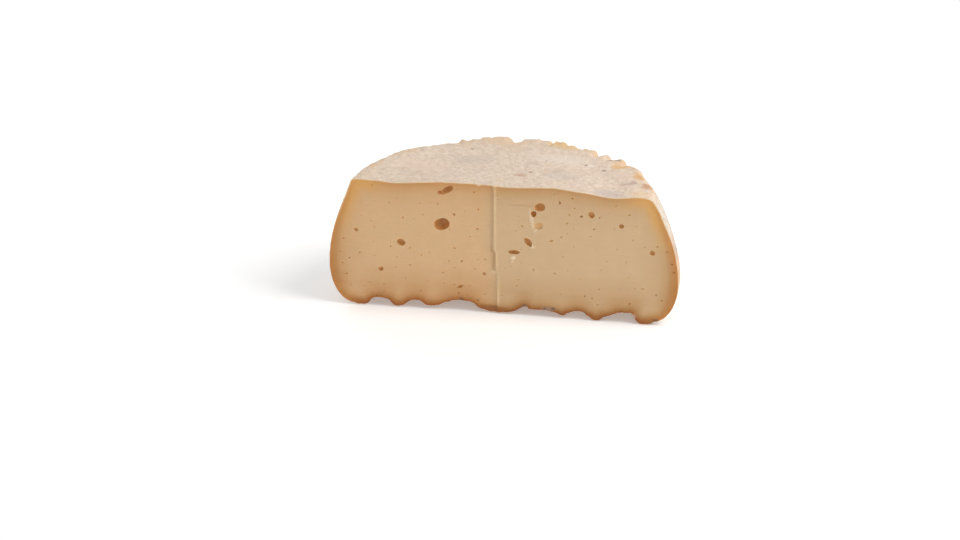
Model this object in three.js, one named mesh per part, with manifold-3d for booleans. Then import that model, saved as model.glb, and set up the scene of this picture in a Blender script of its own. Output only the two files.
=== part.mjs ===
// Half of a small pressed cheese with a natural rind: a low wheel that sagged as it ripened and was
// then cut through the middle with two knife strokes that meet at a crease.
// +X runs along the cut, +Y goes into the cheese and +Z is up. The origin is on the board, under the
// middle of the half wheel's box. Lengths are millimetres and angles are degrees.
import * as THREE from "three";
import { mergeVertices } from "three/addons/utils/BufferGeometryUtils.js";
import Module from "manifold-3d";

// The wheel before it is cut.
const HEIGHT = 77.2;
const BELLY_RADIUS = 100; // where the sagged side is widest
const BELLY_HEIGHT = 25;
const SHOULDER_INSET = 14.6; // how far the top's edge stands in from the belly
const FOOT_INSET = 14; // how far the side curls in under the belly
const EDGE_ROUND = 2.6; // rounding of the top's edge
const FOOT_FULLNESS = 0.4; // how far the curl under the belly keeps to the board, as a share of it
const BELLY_FULLNESS = 0.4; // how far up the side the belly's curve holds, as a share of the side
const SHOULDER_LEAN = { inward: 0.35, down: 0.25 }; // slope of the side under the top's edge

// What ripening on a board did to it.
const HOLLOW_DEPTH = 6.3; // how far the wrinkled underside arches up between its feet
const UNDERSIDE_FADE = 4; // power by which the wrinkles die out up the side
const TOP_FADE = 8; // power by which what happened to the top dies out down the side
const SIDE_FADE = 4; // power by which what happened to the side dies out towards the axis
const MOAT = { inset: 23, width: 8, depth: 1.1 }; // shallow dip just inside the top's edge
const SAG = { angle: 40, spread: 26, drop: 2.6, pull: 5 }; // one shoulder sank and drew in
const DENT = { depth: 0.7, around: 7, twist: 4, up: 5 }; // gentle unevenness of the side

// Feet that the wheel stands on, near the cut: place along the cut as a share of the belly radius,
// then how far into the cheese, width and drop in millimetres.
const CUT_FEET = [
  [-0.85, 3, 5.5, 7],
  [-0.61, 4, 5, 6.3],
  [-0.42, 2, 4.5, 4.8],
  [-0.035, 2, 8, 5.2],
  [0.175, 1, 3, 1.9],
  [0.345, 2, 3.4, 3.7],
  [0.54, 2, 4, 5.7],
  [0.825, 3, 5.2, 7],
];
const MIDDLE_FOOT = { width: 9, drop: 8.4 }; // a broad one in the middle, which bears flat
const INNER_FEET = 24; // others lie on a sunflower spiral
const INNER_FOOT = { width: 5.2, drop: 5.9, vary: 1.3, rhythm: 2.3, start: 15, inset: 14 };
const SPIRAL_TURN = 137.5; // the angle between one foot of the spiral and the next

// Feet under the edge all round the back: angle from +X, then inset from where the underside
// starts to curl up, width and drop in millimetres.
const HEM_FEET = [
  [9, 3, 5, 5.6],
  [24, 2, 4, 4.2],
  [36, 3, 6, 6.4],
  [51, 2, 4.5, 3.6],
  [66, 3, 5.5, 6.2],
  [82, 2, 4, 4.8],
  [95, 3, 6, 6],
  [112, 2, 4.5, 3.8],
  [126, 3, 6, 6.4],
  [141, 2, 4.5, 5],
  [155, 3, 5, 5.8],
  [169, 2, 4.5, 4],
];

// Swells and dips of the top: place along the cut and into the cheese as shares of the belly
// radius, then width and height in millimetres.
const TOP_SWELLS = [
  [0.26, 0.01, 8, 1.3],
  [-0.26, 0.02, 12, 0.9],
  [0.62, 0.04, 9, -1.3],
  [0.1, 0.46, 14, 0.7],
  [-0.42, 0.38, 12, -0.6],
];

// Folds and notches that the cheesecloth left along the top's edge: angle from +X, then spread
// along the edge and height in millimetres.
const RIM_FOLDS = [
  [2, 7, 0.6],
  [22, 5, -0.5],
  [31, 4, 0.5],
  [41, 3, 0.5],
  [52, 3.4, -2],
  [60, 3, 0.4],
  [76.5, 4, 1],
  [87, 5, 1],
  [94.5, 2.6, -2.9],
  [104, 8, 1.5],
  [126, 9, -1],
  [148, 14, 0.5],
];
const FOLD_REACH = 5; // how far a fold spreads across the edge
const FOLD_LEAN = 0.6; // how far a fold stands outwards for each millimetre that it stands up

// The cut.
const CREASE_OFFSET = -3.6; // the strokes meet this far from the wheel's axis
const CREASE_TURN = 2; // how far the second stroke's face turns forward
const CREASE_STEP = 0.7; // how far the first face stands proud of the second

// The larger eyes in the cut: along the cut and up, as shares of the belly radius and the height,
// then width, height and depth in millimetres, and the tilt.
const EYES = [
  [-0.84, 0.6, 2.6, 2.2, 2, 0],
  [-0.7, 0.3, 3.2, 2.6, 2.6, 20],
  [-0.58, 0.52, 5, 4.2, 4, -25],
  [-0.343, 0.68, 8.8, 8, 6, 10],
  [-0.317, 0.945, 7.6, 4.2, 4, 30],
  [-0.241, 0.196, 3.6, 2, 2, 25],
  [0.069, 0.497, 6, 2.8, 3.4, 4],
  [0.15, 0.585, 5.8, 3.6, 4, -50],
  [0.211, 0.714, 5.2, 5.4, 2.6, 15],
  [0.209, 0.85, 6, 5.2, 5, 25],
  [0.507, 0.827, 3.8, 4, 3, 0],
  [0.676, 0.755, 2.8, 2.8, 2.4, 0],
  [0.852, 0.565, 3, 3, 2.6, 0],
];
const EYE_SINK = 0.3; // an eye's middle lies this share of its depth behind the face
const EYE_LUMP = { height: 0.12, across: 3, up: 4, shift: 20 }; // how an eye's wall strays

// How finely the faceted solid follows the real surface.
const FACET = 5.4; // length of a facet's edge
const EYE_DETAIL = 2; // how often an eye's twenty faces are split

const wasm = await Module();
wasm.setup();

const radians = THREE.MathUtils.degToRad;
const bell = (distance, width) => Math.exp(-(distance * distance) / (2 * width * width));
const shoulderRadius = BELLY_RADIUS - SHOULDER_INSET;
const footRadius = BELLY_RADIUS - FOOT_INSET;

// The wheel's outline from the middle of its underside, round the side, to the middle of its top.
function outline() {
  const at = (radius, height) => new THREE.Vector2(radius, height);
  const sideHeight = HEIGHT - BELLY_HEIGHT;
  const underEdge = at(shoulderRadius + EDGE_ROUND / 2, HEIGHT - EDGE_ROUND);
  const curves = [
    new THREE.LineCurve(at(0, 0), at(footRadius, 0)),
    new THREE.CubicBezierCurve(
      at(footRadius, 0),
      at(footRadius + FOOT_INSET * FOOT_FULLNESS, 0),
      at(BELLY_RADIUS, BELLY_HEIGHT / 3),
      at(BELLY_RADIUS, BELLY_HEIGHT),
    ),
    new THREE.CubicBezierCurve(
      at(BELLY_RADIUS, BELLY_HEIGHT),
      at(BELLY_RADIUS, BELLY_HEIGHT + sideHeight * BELLY_FULLNESS),
      at(shoulderRadius + SHOULDER_INSET * SHOULDER_LEAN.inward, HEIGHT - sideHeight * SHOULDER_LEAN.down),
      underEdge,
    ),
    new THREE.QuadraticBezierCurve(
      underEdge,
      at(shoulderRadius, HEIGHT),
      at(shoulderRadius - EDGE_ROUND, HEIGHT),
    ),
    new THREE.LineCurve(at(shoulderRadius - EDGE_ROUND, HEIGHT), at(0, HEIGHT)),
  ];
  const points = curves.flatMap((curve) => {
    const steps = Math.max(2, Math.round(curve.getLength() / FACET));
    return curve.getSpacedPoints(steps).slice(0, -1);
  });
  return [...points, at(0, HEIGHT)];
}

// Every foot under the wheel, as [x, y, width, drop].
function feet() {
  const inner = Array.from({ length: INNER_FEET }, (_, i) => {
    const radius = (footRadius - INNER_FOOT.inset) * Math.sqrt((i + 0.5) / INNER_FEET);
    const angle = radians(SPIRAL_TURN * i);
    const vary = INNER_FOOT.vary * Math.sin(INNER_FOOT.rhythm * i);
    return [
      radius * Math.cos(angle),
      radius * Math.abs(Math.sin(angle)),
      INNER_FOOT.width + vary,
      INNER_FOOT.drop + vary,
    ];
  });
  const nearCut = CUT_FEET.map(([along, ...rest]) => [along * BELLY_RADIUS, ...rest]);
  const hem = HEM_FEET.map(([angle, inset, ...rest]) => [
    (footRadius - inset) * Math.cos(radians(angle)),
    (footRadius - inset) * Math.sin(radians(angle)),
    ...rest,
  ]);
  const turnedForward = (BELLY_RADIUS + CREASE_OFFSET) * Math.tan(radians(CREASE_TURN));
  const middle = [0, (BELLY_RADIUS - turnedForward) / 2, MIDDLE_FOOT.width, MIDDLE_FOOT.drop];
  return [middle, ...nearCut, ...hem, ...inner.filter((foot) => foot[1] > INNER_FOOT.start)];
}

const allFeet = feet();

// How far the underside stands above the board at a place. Feet that would reach lower bear flat.
function underside(x, y) {
  const reached = allFeet.reduce(
    (sum, [footX, footY, width, drop]) => sum + drop * bell(Math.hypot(x - footX, y - footY), width),
    0,
  );
  return Math.max(0, HOLLOW_DEPTH - reached);
}

// Moves a point of the plain wheel to where ripening and the cloth left it.
function settle(point) {
  const radius = Math.hypot(point.x, point.y);
  const angle = Math.atan2(point.y, point.x);
  const rise = point.z / HEIGHT;
  let outward = 0;
  let upward = underside(point.x, point.y) * (1 - rise) ** UNDERSIDE_FADE;

  const fromEdge = Math.hypot(radius - shoulderRadius, point.z - HEIGHT);
  for (const [foldAngle, spread, height] of RIM_FOLDS) {
    const along = shoulderRadius * (angle - radians(foldAngle));
    const fold = height * bell(along, spread) * bell(fromEdge, FOLD_REACH);
    outward += FOLD_LEAN * fold;
    upward += fold;
  }

  const nearTop = rise ** TOP_FADE;
  upward -= MOAT.depth * bell(radius - shoulderRadius + MOAT.inset, MOAT.width) * nearTop;
  for (const [along, into, width, height] of TOP_SWELLS) {
    const away = Math.hypot(point.x - along * BELLY_RADIUS, point.y - into * BELLY_RADIUS);
    upward += height * bell(away, width) * nearTop;
  }

  const outer = (radius / BELLY_RADIUS) ** SIDE_FADE;
  const sunk = bell(angle - radians(SAG.angle), radians(SAG.spread)) * nearTop * outer;
  upward -= SAG.drop * sunk;
  outward -= SAG.pull * sunk;
  const ripple = Math.sin(DENT.around * angle) * Math.sin(DENT.twist * angle + DENT.up * rise);
  outward += DENT.depth * ripple * outer;

  const grown = radius > 0 ? (radius + outward) / radius : 1;
  return point.set(point.x * grown, point.y * grown, point.z + upward);
}

// A closed three.js geometry as a solid.
function solidOf(geometry) {
  const bare = new THREE.BufferGeometry().setAttribute("position", geometry.getAttribute("position"));
  bare.setIndex(geometry.index);
  const merged = mergeVertices(bare, 1e-4);
  return new wasm.Manifold(
    new wasm.Mesh({
      numProp: 3,
      vertProperties: merged.getAttribute("position").array,
      triVerts: Uint32Array.from(merged.index.array),
    }),
  );
}

// The whole wheel, settled, standing on the board with its axis along Z.
function wheel() {
  const segments = Math.round((2 * Math.PI * BELLY_RADIUS) / FACET);
  const turned = new THREE.LatheGeometry(outline(), segments).rotateX(Math.PI / 2);
  const places = turned.getAttribute("position");
  const point = new THREE.Vector3();
  for (let i = 0; i < places.count; i++) {
    settle(point.fromBufferAttribute(places, i));
    places.setXYZ(i, point.x, point.y, point.z);
  }
  return solidOf(turned);
}

// What one stroke takes away: everything in front of a face that starts at the crease.
// side is 1 for the face towards +X and -1 for the other.
function stroke(side, turn, step) {
  const reach = 3 * BELLY_RADIUS;
  const block = new THREE.BoxGeometry(reach, reach, 3 * HEIGHT);
  block.translate((side * reach) / 2, -reach / 2 - step, HEIGHT / 2);
  block.rotateZ(radians(turn)).translate(CREASE_OFFSET, 0, 0);
  return solidOf(block);
}

// How far the cut face stands towards the front at a place along the cut.
function faceAt(x) {
  if (x > CREASE_OFFSET) return -CREASE_STEP;
  return (x - CREASE_OFFSET) * Math.tan(radians(CREASE_TURN));
}

// One eye: a slightly lumpy bubble that the cut has opened.
function eye([along, up, width, height, depth, tilt]) {
  const bubble = new THREE.IcosahedronGeometry(1, EYE_DETAIL);
  const places = bubble.getAttribute("position");
  const point = new THREE.Vector3();
  for (let i = 0; i < places.count; i++) {
    point.fromBufferAttribute(places, i);
    const across = Math.sin(EYE_LUMP.across * point.x + EYE_LUMP.shift * along);
    const upward = Math.sin(EYE_LUMP.up * point.z + EYE_LUMP.shift * up);
    point.multiplyScalar(1 + EYE_LUMP.height * across * upward);
    places.setXYZ(i, point.x, point.y, point.z);
  }
  const x = along * BELLY_RADIUS;
  bubble.scale(width / 2, depth, height / 2).rotateY(-radians(tilt));
  return solidOf(bubble.translate(x, faceAt(x) + EYE_SINK * depth, up * HEIGHT));
}

function halfWheel() {
  let cheese = wheel();
  cheese = cheese.subtract(stroke(1, 0, CREASE_STEP));
  cheese = cheese.subtract(stroke(-1, CREASE_TURN, 0));
  for (const place of EYES) cheese = cheese.subtract(eye(place));
  return cheese;
}

// A solid back as a geometry, with the origin on the board under the middle of its box.
function geometryOf(solid) {
  const mesh = solid.getMesh();
  const geometry = new THREE.BufferGeometry()
    .setAttribute("position", new THREE.BufferAttribute(mesh.vertProperties, 3))
    .setIndex(new THREE.BufferAttribute(mesh.triVerts, 1));
  geometry.computeBoundingBox();
  const middle = geometry.boundingBox.getCenter(new THREE.Vector3());
  geometry.translate(-middle.x, -middle.y, -geometry.boundingBox.min.z);
  geometry.computeVertexNormals();
  return geometry;
}

const cheese = new THREE.MeshStandardMaterial({ color: 0xd9b78c, roughness: 0.6, metalness: 0 });
const halfWheelMesh = new THREE.Mesh(geometryOf(halfWheel()), cheese);
halfWheelMesh.name = "half_wheel";

const group = new THREE.Group();
group.add(halfWheelMesh);
export default group;
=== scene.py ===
"""Half of a small pressed cheese with a natural rind, standing on its wrinkled underside.

Two knife strokes have opened it: they meet at a crease a little off the middle of the cut face.
"""
from math import cos, pi, radians, sin, tan

import bpy
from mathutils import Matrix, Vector


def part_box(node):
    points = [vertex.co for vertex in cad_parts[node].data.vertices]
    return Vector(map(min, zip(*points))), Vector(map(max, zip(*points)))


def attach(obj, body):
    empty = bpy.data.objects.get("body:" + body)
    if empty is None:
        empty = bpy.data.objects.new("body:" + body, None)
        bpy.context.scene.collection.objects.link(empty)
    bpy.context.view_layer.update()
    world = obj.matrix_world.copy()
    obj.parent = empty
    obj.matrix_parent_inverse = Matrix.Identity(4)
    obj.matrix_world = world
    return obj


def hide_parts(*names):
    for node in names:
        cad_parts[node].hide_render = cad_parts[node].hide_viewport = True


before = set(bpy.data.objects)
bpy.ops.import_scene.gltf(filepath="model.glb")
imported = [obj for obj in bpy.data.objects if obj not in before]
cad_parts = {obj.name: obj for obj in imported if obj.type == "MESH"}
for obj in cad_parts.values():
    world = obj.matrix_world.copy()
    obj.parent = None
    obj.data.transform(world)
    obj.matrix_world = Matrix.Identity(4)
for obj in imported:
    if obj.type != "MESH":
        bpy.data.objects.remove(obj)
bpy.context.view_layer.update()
low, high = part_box("half_wheel")
mm = 0.001

# ---------------------------------------------------------------------------------------------
# Camera: a long lens on a stand to the right of the cheese, looking down on the cut face from
# about a forearm's height above the table.
# ---------------------------------------------------------------------------------------------
aim = Vector((0, -3 * mm, 38 * mm))
stand_back = 1.2
stand_turn = radians(10.86)
stand_height = radians(20.88)
camera = bpy.data.objects.new("camera", bpy.data.cameras.new("camera"))
camera.data.lens = 77.06
camera.data.sensor_width = 36
camera.data.shift_x = -0.0386
camera.data.shift_y = -0.0483
towards_camera = Vector(
    (sin(stand_turn) * cos(stand_height), -cos(stand_turn) * cos(stand_height), sin(stand_height))
)
camera.location = aim + stand_back * towards_camera
camera.rotation_euler = towards_camera.to_track_quat("Z", "Y").to_euler()
bpy.context.scene.collection.objects.link(camera)
bpy.context.scene.camera = camera

# ---------------------------------------------------------------------------------------------
# Studio: a plain white sweep in an even white room, a large soft box high on the right, which only
# grazes the cut face, and a weaker one behind on the left for the rind.
# ---------------------------------------------------------------------------------------------
sky_strength = 0.42
softboxes = (
    ("right_softbox", (0.85, -0.18, 0.97), 10.5, 0.75),
    ("back_softbox", (-0.75, 0.95, 0.6), 4.0, 0.9),
)

bpy.context.scene.view_settings.view_transform = "Standard"
world = bpy.data.worlds.new("studio")
world.use_nodes = True
world.node_tree.nodes["Background"].inputs["Color"].default_value = (1, 1, 1, 1)
world.node_tree.nodes["Background"].inputs["Strength"].default_value = sky_strength
bpy.context.scene.world = world

for name, stand, power, width in softboxes:
    lamp = bpy.data.objects.new(name, bpy.data.lights.new(name, "AREA"))
    lamp.data.energy = power
    lamp.data.size = width
    lamp.location = stand
    lamp.rotation_euler = (Vector(stand) - aim).to_track_quat("Z", "Y").to_euler()
    bpy.context.scene.collection.objects.link(lamp)

# The sweep is one round sheet, flat under the cheese and curving up all round far behind it.
floor_mesh = bpy.data.meshes.new("floor")
rings = [(2.6, 0), (3, 0.05), (3.35, 0.2), (3.65, 0.5), (3.8, 0.9), (3.85, 1.6)]
steps = 48
corners = [(0, 0, 0)]
for ring_radius, ring_height in rings:
    for i in range(steps):
        turn = 2 * pi * i / steps
        corners.append((ring_radius * cos(turn), ring_radius * sin(turn), ring_height))
sheets = [(0, 1 + i, 1 + (i + 1) % steps) for i in range(steps)]
for ring in range(len(rings) - 1):
    inner = 1 + ring * steps
    for i in range(steps):
        after = (i + 1) % steps
        sheets.append((inner + i, inner + steps + i, inner + steps + after, inner + after))
floor_mesh.from_pydata(corners, [], sheets)
floor = bpy.data.objects.new("floor", floor_mesh)
bpy.context.scene.collection.objects.link(floor)
sweep = bpy.data.materials.new("white_sweep")
sweep.use_nodes = True
sweep_shader = sweep.node_tree.nodes["Principled BSDF"]
sweep_shader.inputs["Base Color"].default_value = (0.9, 0.9, 0.9, 1)
sweep_shader.inputs["Roughness"].default_value = 0.7
sweep_shader.inputs["Emission Color"].default_value = (1, 1, 1, 1)
sweep_shader.inputs["Emission Strength"].default_value = 0.25
floor_mesh.materials.append(sweep)

# ---------------------------------------------------------------------------------------------
# The half wheel: paste and rind are one body. It was pressed in a cloth, sagged as it ripened on
# a board, and its underside drew up into wrinkles between the feet that it stands on.
# ---------------------------------------------------------------------------------------------
crease_turn = radians(2)  # how far the face of the second stroke turns forward
crease_offset = -3.6 * mm  # where the strokes meet, from the wheel's axis
crease_step = 0.7 * mm  # how far the first face stands proud of the second
rim_over_top = 1.27 * mm  # how far the highest fold of the rim stands over the top
belly_radius = (high.x - low.x) / 2
wheel_height = high.z - low.z - rim_over_top
axis_y = low.y + (belly_radius + crease_offset) * tan(crease_turn)

foot_radius = belly_radius - 14 * mm
shoulder_radius = belly_radius - 14.6 * mm
belly_height = 25 * mm
edge_round = 2.6 * mm


class Wire:
    """A socket of a node tree. Sums on wires add Math nodes, and node() adds any other node."""

    def __init__(self, tree, socket):
        self.tree = tree
        self.socket = socket

    def node(self, kind, settings=None, plugs=None, output=0):
        made = self.tree.nodes.new(kind)
        for name, value in (settings or {}).items():
            if name == "stops":
                ramp = made.color_ramp.elements
                for index, (place, colour) in enumerate(value):
                    stop = ramp[index] if index < len(ramp) else ramp.new(place)
                    stop.position = place
                    stop.color = (*colour, 1)
            elif name == "line":
                points = made.mapping.curves[0].points
                for place, rise in value[1:-1]:
                    points.new(place, rise)
                points[0].location = value[0]
                points[-1].location = value[-1]
                made.mapping.update()
            else:
                setattr(made, name, value)
        for name, value in (plugs or {}).items():
            if isinstance(name, int):
                socket = made.inputs[name]
            else:
                socket = next(s for s in made.inputs if name in (s.identifier, s.name))
            if isinstance(value, Wire):
                self.tree.links.new(value.socket, socket)
            elif socket.type == "RGBA":
                socket.default_value = (*value, 1)
            else:
                socket.default_value = value
        return Wire(self.tree, made.outputs[output])

    def math(self, operation, *others):
        return self.node("ShaderNodeMath", {"operation": operation}, dict(enumerate((self, *others))))

    def vector(self, operation, *others, output=0):
        plugs = dict(enumerate((self, *others)))
        return self.node("ShaderNodeVectorMath", {"operation": operation}, plugs, output)

    def scaled(self, share):
        return self.node("ShaderNodeVectorMath", {"operation": "SCALE"}, {0: self, "Scale": share})

    def __add__(self, other):
        return self.math("ADD", other)

    def __radd__(self, other):
        return self.math("ADD", other)

    def __sub__(self, other):
        return self.math("SUBTRACT", other)

    def __rsub__(self, other):
        return self.node("ShaderNodeMath", {"operation": "SUBTRACT"}, {0: other, 1: self})

    def __mul__(self, other):
        return self.math("MULTIPLY", other)

    def __rmul__(self, other):
        return self.math("MULTIPLY", other)

    def __truediv__(self, other):
        return self.math("DIVIDE", other)

    def __pow__(self, other):
        return self.math("POWER", other)

    def __neg__(self):
        return self.math("MULTIPLY", -1)

    def exp(self):
        return self.math("EXPONENT")

    def sqrt(self):
        return self.math("SQRT")

    def clip(self, lowest=0, highest=1):
        return self.math("MAXIMUM", lowest).math("MINIMUM", highest)

    def follow(self, line):
        """What a drawn line of (place, height) gives at this place."""
        start = line[0][0]
        length = line[-1][0] - start
        low = min(height for _, height in line)
        rise = max(height for _, height in line) - low
        line = [((place - start) / length, (height - low) / rise) for place, height in line]
        share = (self - start) / length
        return self.node("ShaderNodeFloatCurve", {"line": line}, {"Value": share.clip()}) * rise + low

    def bell(self, width):
        return (self * self * (-0.5 / width**2)).exp()

    def ease(self, start, end):
        """0 up to start and 1 from end on, or the other way round where end is below start."""
        share = ((self - start) / (end - start)).clip()
        return share * share * (3 - 2 * share)

    def ramp(self, stops):
        return self.node("ShaderNodeValToRGB", {"stops": stops}, {0: self})

    def blend(self, start, end):
        """The colour this far from start to end."""
        plugs = {"Factor_Float": self, "A_Color": start, "B_Color": end}
        return self.node("ShaderNodeMix", {"data_type": "RGBA"}, plugs, 2)

    def attribute(self, name):
        return self.node("ShaderNodeAttribute", {"attribute_name": name}, None, 2)

    def feed(self, shader, name):
        self.tree.links.new(self.socket, shader.inputs[name])

    def split(self):
        return [self.node("ShaderNodeSeparateXYZ", None, {0: self}, output) for output in range(3)]

    def join(self, *parts):
        return self.node("ShaderNodeCombineXYZ", None, dict(enumerate(parts)))

    def noise(self, size, seed=0, detail=2, roughness=0.5):
        """Cloudy noise at this place, from about -1 to 1, with clouds of that size in metres."""
        plugs = {"Vector": self, "W": seed, "Scale": 1 / size, "Detail": detail, "Roughness": roughness}
        return self.node("ShaderNodeTexNoise", {"noise_dimensions": "4D"}, plugs) * 2 - 1


def shape_tree(name, sizes):
    """A Geometry Nodes tree with a named input for each size. Returns it and the inputs as wires."""
    tree = bpy.data.node_groups.new(name, "GeometryNodeTree")
    for label, value in sizes.items():
        kind = "NodeSocketInt" if isinstance(value, int) else "NodeSocketFloat"
        tree.interface.new_socket(label, in_out="INPUT", socket_type=kind)
    tree.interface.new_socket("Geometry", in_out="OUTPUT", socket_type="NodeSocketGeometry")
    inlet = tree.nodes.new("NodeGroupInput")
    return tree, {label: Wire(tree, inlet.outputs[label]) for label in sizes}


def finish_tree(geometry):
    outlet = geometry.tree.nodes.new("NodeGroupOutput")
    geometry.tree.links.new(geometry.socket, outlet.inputs[0])


def plain_mesh(name, tree, sizes):
    """What the tree makes with these sizes, as an object with a plain mesh and no modifier."""
    piece = bpy.data.objects.new(name, bpy.data.meshes.new(name))
    bpy.context.scene.collection.objects.link(piece)
    modifier = piece.modifiers.new(name, "NODES")
    modifier.node_group = tree
    for socket in tree.interface.items_tree:
        if socket.in_out == "INPUT":
            modifier[socket.identifier] = sizes[socket.name]
    made = bpy.data.meshes.new_from_object(piece.evaluated_get(bpy.context.evaluated_depsgraph_get()))
    piece.modifiers.remove(modifier)
    piece.data = made
    made.name = name
    return piece


def bezier(share, start, near, far, end):
    rest = 1 - share
    return rest * rest * (rest * start + 3 * share * near) + share * share * (3 * rest * far + share * end)


# The lower edge of the cut, and the rim seen from the front: place in mm or degrees, height in mm.
foot_line = [
    (-86, 1.2), (-82, 0.6), (-77, 2.8), (-72, 5.4), (-68, 5), (-64, 2.2), (-61, 0.9),
    (-57, 2), (-53, 4.6), (-50, 5.2), (-46, 3.6), (-42, 2.2), (-38, 2.6), (-34, 4.4),
    (-30, 5.6), (-25, 6.6), (-21, 6.4), (-18.6, 5.9), (-16.3, 5.2), (-14, 3), (-9.4, 1.6),
    (-4.8, 0.8), (0, 1), (4.7, 1.6), (9.3, 3.5), (11.6, 5), (13.9, 5.6), (16.2, 4),
    (20.8, 4.3), (27.8, 3.8), (32.4, 2.8), (34.7, 1.8), (37, 3.2), (41.5, 4.8), (43.8, 5.3),
    (48.4, 3.2), (50.7, 2.2), (54, 0.5), (57.6, 2.4), (62, 4.1), (65, 5.4), (69, 6.3),
    (73.5, 6.4), (75.6, 4.2), (77.5, 1.6), (80.4, 0.3), (83.5, 0.5), (86, 2),
]
rim_line = [
    (0, -0.8), (5, -1.2), (10, -1.3), (18, -0.9), (22, -1.3), (25, -0.8), (28, -0.9), (30, 0.3), (32, 1),
    (34, 1), (36, 0.6), (38, 0.5), (39.5, -1), (41, -1.9), (42, -1.8), (43, -0.2), (44, 1.5), (45, 1.4),
    (46, 0.2), (47.5, -0.1), (49, -0.8), (50, -1.9), (51, -2.5), (52, -2.2), (53, 0.7), (54, 0.4),
    (55.5, -1.4), (57, -2.8), (58, -3.4), (59.5, -1.1), (61, 0.5), (62.5, 0.2), (64, 0.3), (66, -0.6),
    (68, -0.9), (70, 0.3), (71.3, 0.3), (73, -0.3), (75, 1.2), (77, 0.5), (78.5, 1.1), (79.4, -0.8),
    (80.6, -0.2), (82, 0.4), (84.6, -0.1), (86, 0.9), (88, 0.7), (91.2, 0.3), (92.2, -0.1), (93, -1.6),
    (94.5, -2.1), (95.6, -2.5), (96.8, -0.7), (97.8, 0.1), (99.5, 1), (101, 1.2), (104, 0.8), (107, 1.2),
    (109, 0.8), (111, 0), (113, 0.1), (115, -0.7), (117, 0.6), (118.2, -0.8), (119.2, -1.3), (121, -1.1),
    (130, -0.6), (138, 0.1), (146, 0.5), (153, 0), (168, 0.2), (180, 0.1),
]
# Swells and dips of the top: place as shares of the belly radius, then width and height.
top_swells = [
    (0.26, 0.01, 8, 1.3),
    (-0.26, 0.02, 12, 0.9),
    (0.62, 0.04, 9, -1.3),
    (0.1, 0.46, 14, 0.7),
    (-0.42, 0.38, 12, -0.6),
]


# Feet under the edge round the back: angle, then inset from where the side curls under, width, drop.
hem_feet = [
    (9, 3, 5, 5.6),
    (24, 2, 4, 4.2),
    (36, 3, 6, 6.4),
    (51, 2, 4.5, 3.6),
    (66, 3, 5.5, 6.2),
    (82, 2, 4, 4.8),
    (95, 3, 6, 6),
    (112, 2, 4.5, 3.8),
    (126, 3, 6, 6.4),
    (141, 2, 4.5, 5),
    (155, 3, 5, 5.8),
    (169, 2, 4.5, 4),
]
broad_foot_width = 9 * mm
broad_foot_drop = 8.4 * mm
spiral_feet = 24
spiral_inset = 14 * mm  # how far inside the curl the outermost foot of the spiral stands
spiral_turn = 137.5  # degrees from one foot to the next
spiral_foot_width = 5.2 * mm
spiral_foot_drop = 5.9 * mm
spiral_vary = 1.3 * mm
spiral_rhythm = 2.3
spiral_start = 15 * mm  # feet nearer the cut than this are drawn in the lower edge instead


def all_feet():
    """The feet behind the cut as place, width and drop: a broad one, the hem, then a spiral."""
    yield 0, -axis_y, broad_foot_width, broad_foot_drop
    for turn, inset, width, drop in hem_feet:
        radius = foot_radius - inset * mm
        yield radius * cos(radians(turn)), radius * sin(radians(turn)), width * mm, drop * mm
    for i in range(spiral_feet):
        radius = (foot_radius - spiral_inset) * ((i + 0.5) / spiral_feet) ** 0.5
        angle = radians(spiral_turn * i)
        vary = spiral_vary * sin(spiral_rhythm * i)
        into = radius * abs(sin(angle))
        if into > spiral_start:
            yield radius * cos(angle), into, spiral_foot_width + vary, spiral_foot_drop + vary


wheel_sizes = {
    "Belly radius": belly_radius,
    "Height": wheel_height,
    "Belly height": belly_height,
    "Shoulder radius": shoulder_radius,
    "Foot radius": foot_radius,
    "Edge round": edge_round,
    "Hollow depth": 6.3 * mm,
    "Moat depth": 1.1 * mm,
    "Sag": 2.6 * mm,
    "Dent": 0.7 * mm,
    "Crust": 0.9 * mm,
    "Scale step": 0.7 * mm,
    "Crinkle": 0.45 * mm,
    "Knife wave": 0.12 * mm,
    "Eye lump": 0.3,
    "Pinholes": 15000.0,
    "Cells across": 184,
    "Cells into": 92,
    "Cells up": 80,
    "Seed": 7.0,
}
wheel_tree, size = shape_tree("ripened_half_wheel", wheel_sizes)
box = size["Height"].node(
    "GeometryNodeMeshCube",
    None,
    {
        "Size": (2, 1, 1),
        "Vertices X": size["Cells across"],
        "Vertices Y": size["Cells into"],
        "Vertices Z": size["Cells up"],
    },
)
place = box.node("GeometryNodeInputPosition")
on_front = place.split()[1].math("LESS_THAN", -0.4999)
on_rind = 1 - on_front
box = box.node(
    "GeometryNodeStoreNamedAttribute",
    {"data_type": "BOOLEAN", "domain": "FACE"},
    {"Geometry": box, "Name": "is_rind", "Value": on_rind},
)

# The box becomes half a disc all the way up, with columns drawn close together at the crease.
x, y, share_up = place.split()
y = y + 0.5
share_up = share_up + 0.5
crease_share = crease_offset / belly_radius
from_crease = x - crease_share
x = x - from_crease * from_crease.bell(0.03) * (1 - y).math("POWER", 6) * 0.8
across = x * (1 - y * y * 0.5).sqrt()
into = y * (1 - x * x * 0.5).sqrt()
reach_out = (across * across + into * into).sqrt()

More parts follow.
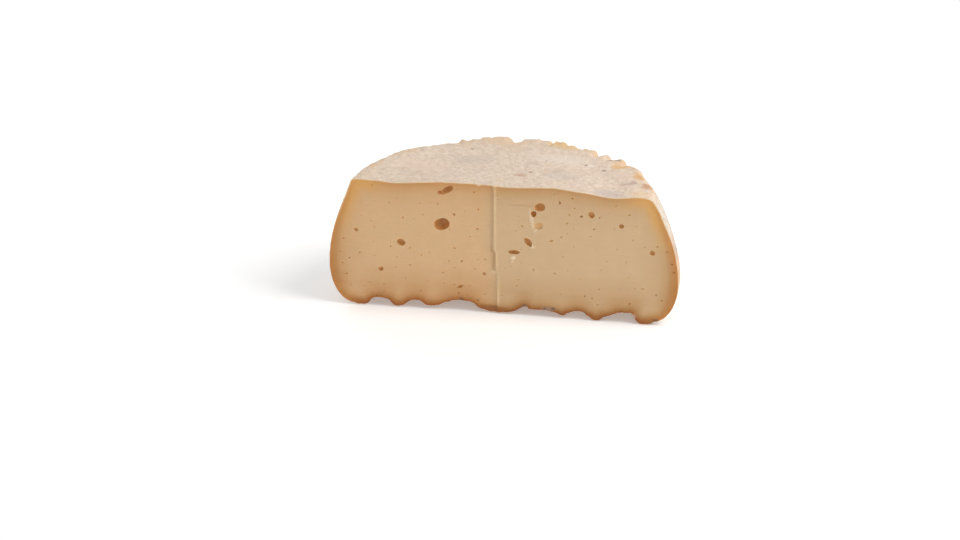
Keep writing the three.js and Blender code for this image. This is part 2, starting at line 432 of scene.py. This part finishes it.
# The side's outline: the curl under the belly, the side and the rounded edge of the top.
belly_at = 0.32  # share of the rows of faces that make the curl
edge_at = 0.94  # share of the rows up to where the edge's rounding starts
curl_fullness = 0.4  # how far the curl keeps to the board
belly_fullness = 0.4  # how far up the side the belly's curve holds
shoulder_lean_in = 0.35
shoulder_lean_down = 0.25
under_edge_radius = size["Shoulder radius"] + size["Edge round"] * 0.5
under_edge_height = size["Height"] - size["Edge round"]
side_height = size["Height"] - size["Belly height"]
inset = size["Belly radius"] - size["Shoulder radius"]
foot_inset = size["Belly radius"] - size["Foot radius"]
outline = [
    (
        (0, belly_at),
        (
            size["Foot radius"],
            size["Foot radius"] + foot_inset * curl_fullness,
            size["Belly radius"],
            size["Belly radius"],
        ),
        (size["Height"] * 0, size["Height"] * 0, size["Belly height"] / 3, size["Belly height"]),
    ),
    (
        (belly_at, edge_at),
        (
            size["Belly radius"],
            size["Belly radius"],
            size["Shoulder radius"] + inset * shoulder_lean_in,
            under_edge_radius,
        ),
        (
            size["Belly height"],
            size["Belly height"] + side_height * belly_fullness,
            size["Height"] - side_height * shoulder_lean_down,
            under_edge_height,
        ),
    ),
    (
        (edge_at, 1),
        (
            under_edge_radius,
            size["Shoulder radius"] + size["Edge round"] * 0.17,
            size["Shoulder radius"] - size["Edge round"] * 0.33,
            size["Shoulder radius"] - size["Edge round"],
        ),
        (under_edge_height, size["Height"] - size["Edge round"] * 0.33, size["Height"], size["Height"]),
    ),
]
radius = size["Foot radius"]
height = size["Height"] * 0
for (start, end), radii, heights in outline:
    share = ((share_up - start) / (end - start)).clip()
    radius = radius + bezier(share, *radii) - radii[0]
    height = height + bezier(share, *heights) - heights[0]
near_side = reach_out.math("POWER", 6)
height = height * near_side + size["Height"] * share_up * (1 - near_side)
x = across * radius
y = into * radius
flat_place = x.join(x, y, 0)
place = x.join(x, y, height)

# Ripening: the underside draws up between the feet, the rim folds, and the top and side dent.
underside_fade = 4  # powers by which each thing dies out up the side, down it and inwards
top_fade = 8
side_fade = 4
fold_reach = 5 * mm
fold_lean = 0.6  # how far a fold stands outwards for each millimetre that it stands up
moat_inset = 23 * mm
moat_width = 8 * mm
sag_at = radians(40)
sag_spread = radians(26)
sag_pull = 1.9  # how far the sunken shoulder draws in for each millimetre that it sinks
rise = height / size["Height"]
from_axis = (x * x + y * y).sqrt().math("MAXIMUM", 1e-5)
angle = y.math("ARCTAN2", x)
reached = 0
for foot_x, foot_y, width, drop in all_feet():
    away = flat_place.vector("DISTANCE", (foot_x, foot_y, 0), output=1)
    reached = away.bell(width) * drop + reached
under_grain = place.noise(7 * mm, size["Seed"], 3, 0.6) * 0.9 * mm
hollow = (size["Hollow depth"] - reached + under_grain).math("MAXIMUM", 0)
at_cut = y.ease(10 * mm, 1 * mm)
hollow = hollow * (1 - at_cut) + (x / mm).follow(foot_line) * mm * at_cut
crust = place.noise(2.6 * mm, size["Seed"] + 8, 2, 0.5) * size["Crust"]
upward = (hollow + crust.math("MAXIMUM", 0)) * (1 - rise).math("POWER", underside_fade)

from_edge_x = from_axis - size["Shoulder radius"]
from_edge = (from_edge_x * from_edge_x + (height - size["Height"]) * (height - size["Height"])).sqrt()
folds = (angle * (180 / pi)).follow(rim_line) * mm * from_edge.bell(fold_reach)
outward = folds * fold_lean
upward = upward + folds

# Scales: dry plates of rind along the rim, each lower at one end than the next one begins.
scale_run = angle * (180 / pi / 9) + place.noise(14 * mm, size["Seed"] + 5, 2) * 1.6
scale_step = scale_run.math("FRACT").ease(0, 0.8) - scale_run.math("FRACT").ease(0.82, 1) - 0.4
scaliness = (place.noise(26 * mm, size["Seed"] + 6, 1) * 1.3 + 0.45).clip(0.1, 1)
scale_size = size["Scale step"] * scaliness * angle.ease(2.3, 1.9)
scales = scale_step * scale_size * from_edge.bell(2.8 * mm) * y.ease(3 * mm, 9 * mm)
upward = upward + scales
outward = outward + scales

near_top = rise.math("POWER", top_fade)
moat = (from_edge_x + moat_inset).bell(moat_width) * size["Moat depth"] * near_top
upward = upward - moat
for along, deep, width, swell in top_swells:
    away = flat_place.vector("DISTANCE", (along * belly_radius, deep * belly_radius, 0), output=1)
    upward = upward + away.bell(width * mm) * near_top * (swell * mm)

outer = (from_axis / size["Belly radius"]).math("POWER", side_fade)
sunk = (angle - sag_at).bell(sag_spread) * near_top * outer
upward = upward - sunk * size["Sag"]
outward = outward - sunk * size["Sag"] * sag_pull
ripple = (angle * 7).math("SINE") * (angle * 4 + rise * 5).math("SINE")
outward = outward + ripple * outer * size["Dent"]

# The rind's own roughness: small crinkles, stronger along the rim and under the belly.
crinkle = place.noise(5 * mm, size["Seed"] + 1, 4, 0.6) * size["Crinkle"]
rim_crinkle = place.noise(3 * mm, size["Seed"] + 2, 3, 0.55) * size["Crinkle"] * 1.6 * from_edge.bell(3 * mm)
outward = outward + (crinkle + rim_crinkle) * outer
upward = upward + crinkle * near_top * 0.45 + rim_crinkle
grown = (from_axis + outward) / from_axis
x = x * grown
y = y * grown
height = height + upward

# Bits of paste that the blade tore up: place along the cut and height, then half their length and
# width, tilt in degrees and how proud they stand, in mm.
torn_bits = [
    (17, 59, 7, 0.9, 98, 0.32),
    (19.5, 52.5, 2.4, 0.8, 60, 0.3),
    (17.7, 42.7, 1.3, 0.8, -50, 0.5),
    (6.8, 35.2, 1.5, 1.1, 40, 0.6),
    (5.6, 32.6, 0.8, 0.6, 0, 0.35),
    (-4.5, 25.2, 2.6, 0.8, 0, 0.2),
    (29.5, 46.5, 1.4, 0.5, 0, 0.25),
    (-13, 77.5, 1.6, 1.2, 10, 0.3),
]

# The knife: one flat face to the right of the crease, and one that turns forward to the left.
crease_x = crease_offset - 1.2 * mm + height.ease(39 * mm, 37 * mm) * mm
crease_x = crease_x + height.ease(28 * mm, 24 * mm) * 0.9 * mm
past_crease = x - crease_x
right_side = past_crease.ease(-0.12 * mm, 0.12 * mm)
left_face = past_crease * tan(crease_turn)
wave = x.join(x, 0, height * 0.6).noise(16 * mm, size["Seed"] + 3) * size["Knife wave"]
lip = (past_crease - 0.6 * mm).bell(0.5 * mm) * 0.28 * mm
nick = (height - 38.6 * mm).bell(0.4 * mm) * past_crease.ease(-0.5 * mm, 0.5 * mm)
nick = nick * past_crease.ease(9 * mm, 4 * mm)
torn = 0
for along, up, width, tall, tilt, proud in torn_bits:
    aside = x - along * mm
    above = height - up * mm
    turn = radians(tilt)
    far_along = (aside * cos(turn) + above * sin(turn)) / (width * mm)
    far_across = (above * cos(turn) - aside * sin(turn)) / (tall * mm)
    torn = (far_along * far_along + far_across * far_across).ease(1, 0.3) * proud + torn
face_y = left_face * (1 - right_side) - right_side * crease_step + wave - lip - nick * 0.2 * mm - torn * mm
knife_fade = 15 * mm  # how far behind the cut the body still follows the blade
y = y + face_y * (-(y.math("MAXIMUM", 0)) / knife_fade).exp()

# What the finish follows: where a place was on the plain box, so it is kept before the box moves.
kept_places = {
    "side_share": share_up,
    "rim": from_edge.bell(4.5 * mm),
    "scale": scale_step,
    "torn": torn,
    "past_crease": past_crease / mm,
}
for label, value in kept_places.items():
    plugs = {"Geometry": box, "Name": label, "Value": value}
    box = box.node("GeometryNodeStoreNamedAttribute", None, plugs)
body = box.node("GeometryNodeSetPosition", None, {"Geometry": box, "Position": x.join(x, y + axis_y, height)})
is_rind = body.node("GeometryNodeInputNamedAttribute", {"data_type": "BOOLEAN"}, {"Name": "is_rind"})
skin = body.node("GeometryNodeSeparateGeometry", {"domain": "FACE"}, {"Geometry": body, "Selection": is_rind})
cut = Wire(wheel_tree, skin.socket.node.outputs["Inverted"])

# Eyes: gas bubbles in the paste that the knife opened, each as place on the cut in shares of the
# belly radius and of the height, then width, height and depth in mm, and its tilt in degrees.
eyes = [
    (-0.84, 0.6, 2.6, 2.2, 1.2, 0),
    (-0.7, 0.3, 3.2, 2.6, 1.6, 20),
    (-0.58, 0.52, 5, 4.2, 2.5, -25),
    (-0.343, 0.68, 8.8, 8, 5, 10),
    (-0.312, 0.947, 8.2, 3.6, 3, 32),
    (-0.241, 0.196, 3.6, 2, 1.2, 25),
    (0.069, 0.497, 6.6, 2.7, 2.1, 4),
    (0.15, 0.585, 5.8, 3.6, 2.5, -50),
    (0.211, 0.714, 5, 4.4, 0.7, 15),
    (0.216, 0.858, 6.2, 4.8, 2.9, 10),
    (0.507, 0.827, 3.8, 4, 1.9, 0),
    (0.676, 0.755, 2.8, 2.8, 1.5, 0),
    (0.852, 0.565, 3, 3, 1.6, 0),
    (0.329, 0.905, 1.3, 2, 1, 0),
    (0.451, 0.809, 2, 1.2, 0.9, 0),
    (0.283, 0.606, 2.5, 1.3, 0.5, 10),
    (-0.101, 0.309, 1.8, 1.8, 1, 0),
    (-0.231, 0.398, 1.5, 1.2, 0.7, 0),
    (-0.273, 0.759, 1.5, 1.2, 0.7, 0),
]
# Lobes: side pockets where two bubbles met.
lobes = [
    (0.182, 0.805, 3.2, 4, 2.6, 0),
    (-0.352, 0.925, 3, 2.4, 2, 30),
    (0.163, 0.56, 2, 2, 1.6, 0),
]


def bubble_group(holes, seed):
    """Lumpy balls for these holes, sunk a little behind the cut."""
    joined = wheel_tree.nodes.new("GeometryNodeJoinGeometry")
    for index, (along, up, width, tall, deep, tilt) in enumerate(holes):
        hole_x = along * belly_radius
        face = -crease_step if hole_x > crease_offset else (hole_x - crease_offset) * tan(crease_turn)
        detail = 4 if width > 2.5 else 3
        ball = size["Seed"].node("GeometryNodeMeshIcoSphere", None, {"Radius": 1.0, "Subdivisions": detail})
        skin_place = ball.node("GeometryNodeInputPosition")
        lump = skin_place.noise(1.1, size["Seed"] + index * 3.7 + seed, 3, 0.55) * size["Eye lump"]
        plugs = {"Geometry": ball, "Offset": skin_place.scaled(lump)}
        ball = ball.node("GeometryNodeSetPosition", None, plugs)
        middle = (hole_x, face + axis_y + 0.15 * deep * mm, up * wheel_height)
        stretch = (width * mm / 2, deep * mm, tall * mm / 2)
        turn = (0, -radians(tilt), 0)
        plugs = {"Geometry": ball, "Translation": middle, "Rotation": turn, "Scale": stretch}
        ball = ball.node("GeometryNodeTransform", None, plugs)
        wheel_tree.links.new(ball.socket, joined.inputs[0])
    return Wire(wheel_tree, joined.outputs[0])


bubbles = bubble_group(eyes, 20)
pockets = bubble_group(lobes, 90)

# Pinholes: much smaller bubbles all over the cut, never closer than 4 mm to each other.
from_rind = cut.node("GeometryNodeProximity", {"target_element": "FACES"}, {"Target": skin}, 1)
plugs = {"Mesh": cut, "Distance Min": 4 * mm, "Density Max": size["Pinholes"], "Seed": 11}
plugs["Density Factor"] = from_rind.ease(2 * mm, 5 * mm)
specks = cut.node("GeometryNodeDistributePointsOnFaces", {"distribute_method": "POISSON"}, plugs)
speck = specks.node("GeometryNodeMeshIcoSphere", None, {"Radius": 1.0, "Subdivisions": 2})
plugs = {"Min_001": 0.0, "Max_001": 1.0, "Seed": 12}
speck_size = specks.node("FunctionNodeRandomValue", {"data_type": "FLOAT"}, plugs, 1)
speck_size = (speck_size**2 * 0.4 + 0.4) * mm
flattened = specks.join(speck_size, speck_size * 0.7, speck_size * 0.8)
plugs = {"Points": specks, "Instance": speck, "Scale": flattened}
specks = specks.node("GeometryNodeInstanceOnPoints", None, plugs)
specks = specks.node("GeometryNodeRealizeInstances", None, {"Geometry": specks})
for label in ("is_rind", "id"):
    specks = specks.node("GeometryNodeRemoveAttribute", None, {"Geometry": specks, "Name": label})
settings = {"operation": "DIFFERENCE", "solver": "MANIFOLD"}
opened = body.node("GeometryNodeMeshBoolean", settings, {"Mesh 1": body})
for hole in (bubbles, pockets, specks):
    wheel_tree.links.new(hole.socket, opened.socket.node.inputs["Mesh 2"])

# What the finish also follows: how far the paste is from the rind, and how deep it is in an eye.
for label, target in (("rind_depth", skin), ("eye_depth", cut)):
    near = opened.node("GeometryNodeProximity", {"target_element": "FACES"}, {"Target": target}, 1)
    plugs = {"Geometry": opened, "Name": label, "Value": near / mm}
    opened = opened.node("GeometryNodeStoreNamedAttribute", None, plugs)
opened = opened.node("GeometryNodeSetShadeSmooth", None, {"Geometry": opened})


def swatch(red, green, blue):
    """A colour as on a paint card, from 0 to 255, in the linear numbers that a shader takes."""
    return tuple(((part / 255 + 0.055) / 1.055) ** 2.4 for part in (red, green, blue))


def new_finish(name):
    """A material, its shader and the place on the piece, as a wire."""
    made = bpy.data.materials.new(name)
    made.use_nodes = True
    tree = made.node_tree
    place = Wire(tree, tree.nodes.new("ShaderNodeTexCoord").outputs["Object"])
    return made, tree.nodes["Principled BSDF"], place


def relief(shader, height):
    """Bumps of that height in millimetres."""
    bump = height.node("ShaderNodeBump", None, {"Strength": 1.0, "Distance": mm, "Height": height})
    bump.feed(shader, "Normal")


# Grey mould and dried juice on the cut's lower edge: place and height, half width and height, tone.
stains = [
    (26.5, 5, 4, 1.8, (160, 134, 114)),
    (29.5, 5.6, 1.4, 1, (104, 84, 72)),
    (24.6, 5.4, 0.9, 0.8, (108, 88, 76)),
    (13.2, 6.2, 1.8, 1, (124, 96, 72)),
    (47, 4.4, 1.4, 1, (122, 96, 78)),
    (-23.5, 7.4, 1.6, 1.2, (120, 86, 58)),
    (-6, 2.4, 9, 2.6, (150, 96, 50)),
    (76, 4.5, 1, 1.6, (196, 158, 128)),
    (88, 3.2, 2, 1, (116, 82, 56)),
]

# Paste: pale straw in the middle, browner towards the rind, most of all over the wet underside.
paste, paste_shader, place = new_finish("ripe_paste")
paste_shader.inputs["Subsurface Weight"].default_value = 0.4
paste_shader.inputs["Subsurface Radius"].default_value = (1, 0.65, 0.35)
paste_shader.inputs["Subsurface Scale"].default_value = 2.5 * mm
paste_shader.inputs["Specular IOR Level"].default_value = 0.35
x, y, z = place.split()
x = x / mm
z = z / mm
depth = place.attribute("rind_depth")
cloud = place.noise(16 * mm, 1, 2)
grain = place.noise(1.1 * mm, 2, 3, 0.6)
smear = place.vector("MULTIPLY", (0.2, 1, 1)).noise(2.2 * mm, 9, 3, 0.6)
ragged = place.noise(2.2 * mm, 14, 3, 0.65) * z.ease(16, 7)
depth = depth + cloud * 0.8 + grain * 0.15 + ragged * 0.9
soaked = depth * (0.65 + z.ease(1.5, 7) * 0.85 - z.ease(8, 15) * 0.5)
ripe = (soaked / 24).ramp(
    [
        (0, (0.44, 0.2, 0.05)),
        (0.05, (0.57, 0.3, 0.1)),
        (0.11, (0.66, 0.45, 0.24)),
        (0.25, (0.82, 0.69, 0.53)),
        (0.45, (0.92, 0.86, 0.79)),
        (1, (1, 1, 1)),
    ]
)
dry = (depth / 24).ramp(
    [
        (0, (0.82, 0.62, 0.4)),
        (0.07, (0.86, 0.68, 0.48)),
        (0.15, (0.9, 0.78, 0.62)),
        (0.32, (0.95, 0.9, 0.84)),
        (0.6, (0.985, 0.97, 0.95)),
        (1, (1, 1, 1)),
    ]
)
colour = z.ease(14, 56).blend(ripe, dry).vector("MULTIPLY", (0.655, 0.458, 0.262))
past = place.attribute("past_crease")
# Left of the crease the face is tinted warmer: painted warm light bounced onto that face.
colour = past.ease(1, -8).blend(colour, colour.vector("MULTIPLY", (1.06, 0.99, 0.92)))
corner = depth.ease(11, 2) * x.math("ABSOLUTE").ease(62, 84) * z.ease(40, 64)
colour = (corner * 0.75).blend(colour, swatch(224, 170, 92))
edge = depth.ease(6, 1) * x.math("ABSOLUTE").ease(80, 92)
colour = (edge * 0.7).blend(colour, swatch(196, 138, 74))
# A pale line just under the rind along the top of the cut: painted highlight where the edge catches the
# light.
painted_edge_highlight = depth.ease(0.8, 0.2) * z.ease(45, 65)
colour = painted_edge_highlight.blend(colour, swatch(226, 205, 172))
# Deeper in each eye the paste turns darker and oranger: painted shade in the hollow of the eye.
inside = place.attribute("eye_depth")
hollows = place.noise(3 * mm, 15, 2, 0.6)
painted_eye_shade = (inside / 5 + hollows * inside.ease(0.2, 1) * 0.4).ramp(
    [
        (0, (1, 1, 1)),
        (0.06, (1, 0.88, 0.64)),
        (0.22, (0.98, 0.71, 0.33)),
        (0.6, (0.88, 0.55, 0.18)),
        (1, (0.64, 0.36, 0.1)),
    ]
)
colour = colour.vector("MULTIPLY", painted_eye_shade).scaled(1 + inside.ease(0.3, 1.5) * 0.3)
# Painted highlight on the narrow strip right of the crease, and painted shade on the slope left of it.
painted_highlight_strip = (past - 0.7).bell(0.6) * z.ease(4, 8) * (1 - (z - 26).bell(1.2))
painted_shade_slope = (past + 1).bell(0.9) * (z.ease(24, 29) * (0.45 + z.ease(43, 40) * 0.55))
colour = (painted_highlight_strip * 0.55).blend(colour, swatch(228, 200, 158))
colour = (painted_shade_slope * 0.5).blend(colour, swatch(178, 134, 86))
drag = (z - 66.7 + smear * 0.3).bell(0.3) * x.ease(3, 7) * x.ease(28, 23)
colour = (drag * 0.35).blend(colour, swatch(178, 142, 98))
colour = (place.attribute("torn") * 2.2).clip().blend(colour, swatch(236, 212, 180))
soil = place.noise(3.2 * mm, 17, 3, 0.65).ease(0.05, 0.45) * depth.ease(1.8, 0.5) * z.ease(13, 7)
colour = (soil * 0.65).blend(colour, swatch(116, 80, 50))
for along, up, width, tall, tone in stains:
    away = ((x - along) / width).math("POWER", 2) + ((z - up) / tall).math("POWER", 2)
    away = away + smear * 0.6 + grain * 0.5
    colour = (away.ease(1.5, 0.1) * 0.8).blend(colour, swatch(*tone))
mottle = place.noise(4.5 * mm, 16, 3, 0.6)
colour = colour.scaled(1 + cloud * 0.02 + mottle * 0.035 + grain * 0.035 + smear * 0.03)
colour.feed(paste_shader, "Base Color")
(0.5 + grain * 0.06 - inside.ease(0, 1.5) * 0.12).feed(paste_shader, "Roughness")
relief(paste_shader, smear * 0.06 + grain * 0.06 - drag * 0.12)

# Marks on the top: where mould was rubbed off, damp spots and pinpricks, as place along and into
# the wheel from its axis, half length and width in mm, tone and strength.
marks = [
    (-13, 77, 13, 6, (226, 196, 164), 0.75),
    (-8, 68, 7, 4, (222, 198, 172), 0.5),
    (18, 79, 6, 4.5, (226, 188, 134), 0.8),
    (25, 75, 6, 4.5, (226, 192, 142), 0.75),
    (38, 72, 5, 3, (228, 196, 156), 0.55),
    (60, 48, 5, 4.5, (228, 180, 118), 0.85),
    (54, 60, 6, 3, (222, 186, 142), 0.6),
    (73, 35, 3.5, 6, (220, 174, 118), 0.8),
    (79, 20, 3, 5, (196, 146, 108), 0.8),
    (77, 5, 6, 5, (232, 202, 166), 0.75),
    (71, 22, 2.4, 2.6, (172, 142, 132), 0.6),
    (67, 19, 3, 2, (196, 164, 150), 0.6),
    (64, 30, 5, 5, (226, 196, 178), 0.5),
    (7, 19.5, 3.6, 2.4, (206, 166, 144), 0.85),
    (11.6, 25.4, 1.2, 1.3, (150, 128, 118), 0.7),
    (40, 47.7, 1, 1.4, (112, 96, 92), 0.85),
    (43, 47, 2.2, 1.8, (242, 230, 216), 0.8),
    (51.4, 40.3, 1.2, 1.3, (140, 120, 110), 0.75),
    (26.2, 45.6, 1.1, 1.2, (148, 128, 118), 0.7),
    (51, 58, 2.4, 1, (116, 100, 92), 0.75),
    (56.5, 56, 2.4, 1, (122, 104, 94), 0.75),
    (-30, 62, 1.1, 1.1, (160, 140, 128), 0.6),
    (59, 5, 8, 5, (198, 182, 176), 0.6),
    (30, 22, 10, 6, (206, 190, 180), 0.45),
    (25, 52, 16, 9, (236, 219, 204), 0.5),
    (-52, 30, 16, 9, (234, 209, 188), 0.5),
    (-24, 44, 12, 8, (208, 190, 178), 0.4),
]


def spots(place, spacing, radius):
    """1 on soft spots of that radius, scattered about that far apart, and 0 between them."""
    plugs = {"Vector": place, "Scale": 1 / spacing, "Randomness": 1.0}
    away = place.node("ShaderNodeTexVoronoi", None, plugs) * spacing
    return away.ease(radius, radius * 0.5)


# Rind: dried and brushed, pale with mould, greyer and pinker in patches, ochre where it is rubbed.
rind, rind_shader, place = new_finish("brushed_rind")
rind_shader.inputs["Specular IOR Level"].default_value = 0.25
x, y, z = place.split()
patch = place.noise(24 * mm, 4, 2)
blotch = place.noise(7 * mm, 5, 3, 0.6)
fleck = place.noise(3 * mm, 6, 4, 0.6)
dust = place.noise(0.9 * mm, 7, 2, 0.6)
colour = (0.55 + fleck * 1.1 + dust * 0.3).clip().blend(swatch(208, 184, 161), swatch(238, 220, 201))
colour = ((blotch + fleck * 0.5 + patch * 0.5).ease(0.05, 0.7) * 0.8).blend(colour, swatch(203, 183, 170))
warm = place.noise(9 * mm, 10, 3, 0.6) + patch * 0.4
colour = (warm.ease(0.15, 0.6) * 0.5).blend(colour, swatch(230, 202, 172))
on_side = place.attribute("side_share").ease(0.95, 0.84)
streak = place.vector("MULTIPLY", (1, 1, 0.3)).noise(5 * mm, 11, 3, 0.6)
damp = place.vector("MULTIPLY", (1, 1, 0.6)).noise(12 * mm, 12, 3, 0.6)
wander = place.noise(5 * mm, 13, 2) * 1.5 * mm
slit_place = x.join(x + wander, y - wander, z * 0.4 + wander * 0.4)
bruise_place = x.join(x - wander * 1.6, y + wander * 1.6, z * 0.7)
slits = spots(slit_place, 12 * mm, 1.4 * mm) * (streak + patch).ease(-0.3, 0.1)
bruises = spots(bruise_place, 19 * mm, 5.5 * mm) * (0.6 + fleck)
wall = (0.5 + streak * 1.2 + fleck * 0.5).clip().blend(swatch(192, 167, 147), swatch(224, 204, 183))
wall = ((damp + fleck * 0.4).ease(0.1, 0.55) * 0.55).blend(wall, swatch(160, 138, 128))
wall = ((warm - damp * 0.6).ease(0.2, 0.7) * 0.7).blend(wall, swatch(214, 174, 128))
wall = (bruises.clip() * 0.6).blend(wall, swatch(158, 132, 122))
wall = (slits * 0.85).blend(wall, swatch(112, 88, 76))
wall = wall.scaled(1 + patch * 0.14)
low_end = (x / mm).ease(70, 90) * (z / mm).ease(52, 30) * (y - axis_y).ease(40 * mm, 5 * mm)
wall = (low_end * (0.55 + streak)).clip().blend(wall, swatch(212, 172, 126))
dusty = ((z / mm).ease(50, 58) * (z / mm).ease(74, 68)) * (x / mm).ease(78, 86)
dusty = dusty * (y - axis_y).ease(30 * mm, 12 * mm)
wall = (dusty * (0.6 + streak * 0.5)).clip().blend(wall, swatch(226, 218, 206))
specks = spots(slit_place, 3.6 * mm, 1.2 * mm) * dusty * (0.5 + fleck * 1.5 + streak).clip()
wall = (specks * 0.65).blend(wall, swatch(136, 124, 120))
colour = (on_side * 0.9).blend(colour, wall)
on_top = 1 - on_side
rubbed = place.attribute("rim") * (0.25 + warm * 1.2 + fleck * 0.4 + place.attribute("scale") * 0.4).clip()
colour = (rubbed * 0.9).blend(colour, swatch(222, 180, 126))
for along, into, width, deep, tone, strength in marks:
    aside = (x / mm - along) / width
    behind = ((y - axis_y) / mm - into) / deep
    away = aside * aside + behind * behind + blotch * 0.5 + fleck * 0.7
    colour = (away.ease(1.9, 0) * strength * on_top).blend(colour, swatch(*tone))
below = (z / mm + blotch * 4 + streak * 2).ease(14, 3)
crust_tone = (0.5 + blotch + fleck * 0.5).clip().blend(swatch(140, 98, 58), swatch(196, 146, 86))
colour = below.blend(colour, crust_tone)
pit = spots(place, 13 * mm, 0.95 * mm)
colour = (pit * 0.6).blend(colour, swatch(140, 112, 96))
colour = colour.scaled(1 + dust * 0.05)
colour.feed(rind_shader, "Base Color")
(0.85 + fleck * 0.08).feed(rind_shader, "Roughness")
relief(rind_shader, fleck * 0.45 + dust * 0.1 + blotch * 0.5 - pit * 0.4 - slits * on_side * 0.6)

opened = opened.node("GeometryNodeRealizeInstances", None, {"Geometry": opened})
opened = opened.node("GeometryNodeSetMaterial", None, {"Geometry": opened, "Material": paste})
is_rind = opened.node("GeometryNodeInputNamedAttribute", {"data_type": "BOOLEAN"}, {"Name": "is_rind"})
plugs = {"Geometry": opened, "Selection": is_rind, "Material": rind}
opened = opened.node("GeometryNodeSetMaterial", None, plugs)
finish_tree(opened)
whole = plain_mesh("half_wheel_rind_and_paste", wheel_tree, wheel_sizes)
whole.data.set_sharp_from_angle(angle=radians(50))

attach(whole, "root")
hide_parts("half_wheel")
